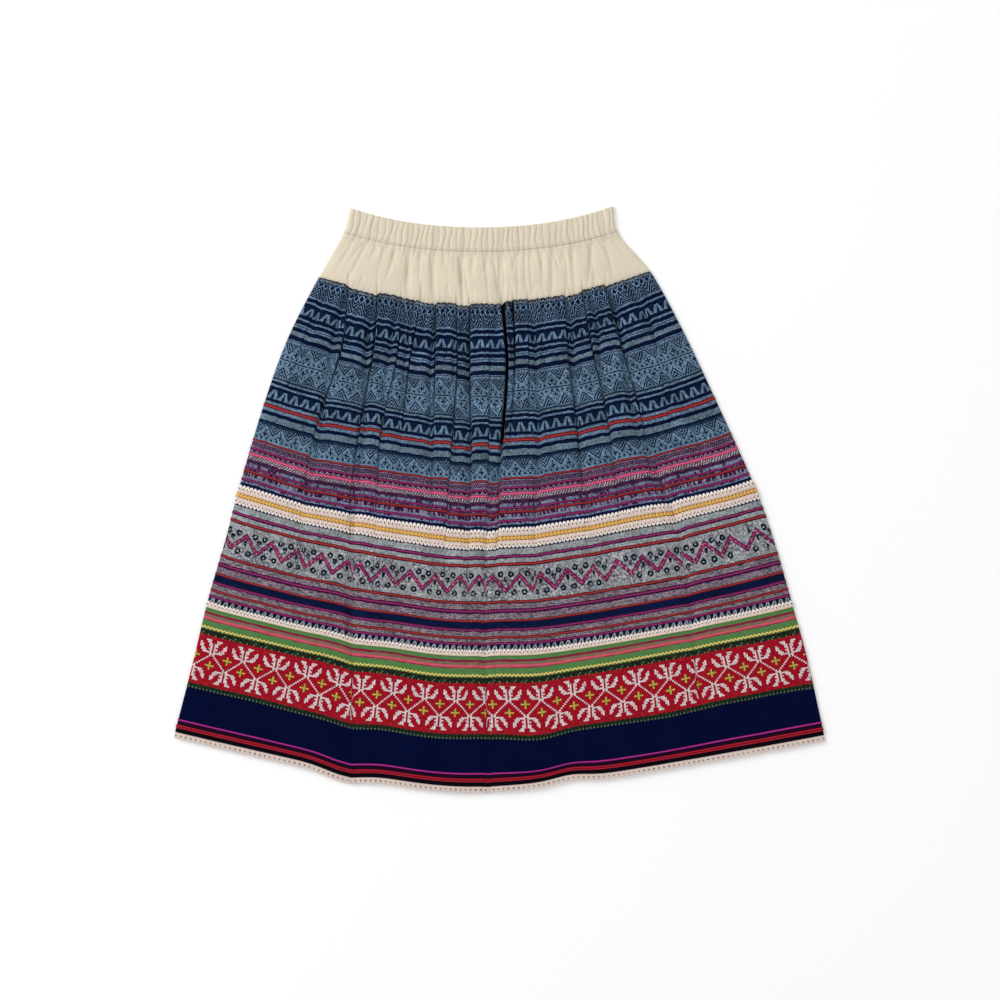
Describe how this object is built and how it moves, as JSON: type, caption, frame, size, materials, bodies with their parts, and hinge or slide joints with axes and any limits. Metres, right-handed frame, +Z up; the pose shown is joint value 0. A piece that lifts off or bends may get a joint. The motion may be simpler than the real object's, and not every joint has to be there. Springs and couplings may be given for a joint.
{
  "type": "midi skirt",
  "caption": "Gathered A-line midi skirt with an elastic waist, patterned body, braid and ribbon trims and a stitched band above the hem, laid flat.",
  "frame": {"origin": "under the middle of the laid skirt's outline, on the surface that it lies on", "axes": "+X across the skirt to the right as seen from above, +Y up towards the waist, +Z up out of the front"},
  "size_m": [0.8098, 0.7278, 0.0129],
  "materials": {
    "cream_cotton": "plain-woven undyed cotton, matt",
    "indigo_batik": "wax-resist indigo cotton, matt, faintly polished",
    "green_woven": "green cotton with woven pink and maroon stripes, matt",
    "cross_stitch": "dense cotton cross-stitch, matt",
    "navy_cotton": "plain navy cotton, matt",
    "cream_braid": "cream cotton braid and lace edging, matt",
    "gold_braid": "gold-coloured chain braid, soft sheen",
    "red_ribbon": "narrow red ribbon and cord, soft sheen",
    "magenta_cord": "twisted magenta cord, soft sheen",
    "yellow_ric_rac": "narrow yellow ric-rac, matt"
  },
  "bodies": {
    "root": {"casing_front": "cream_cotton", "casing_back": "cream_cotton", "yoke_front": "cream_cotton", "yoke_back": "cream_cotton", "batik_front": "indigo_batik", "batik_back": "indigo_batik", "green_front": "green_woven", "green_back": "green_woven", "stitched_front": "cross_stitch", "stitched_back": "cross_stitch", "hem_front": "navy_cotton", "hem_back": "navy_cotton", "lace_front": "cream_braid", "lace_back": "cream_braid", "red_ribbon_front": "red_ribbon", "cream_braid_upper_front": "cream_braid", "gold_braid_front": "gold_braid", "cream_braid_lower_front": "cream_braid", "picot_braid_front": "cream_braid", "ric_rac_front": "yellow_ric_rac", "magenta_cord_front": "magenta_cord", "red_cord_front": "red_ribbon", "red_ribbon_back": "red_ribbon", "cream_braid_upper_back": "cream_braid", "gold_braid_back": "gold_braid", "cream_braid_lower_back": "cream_braid", "picot_braid_back": "cream_braid"}
  },
  "joints": []
}
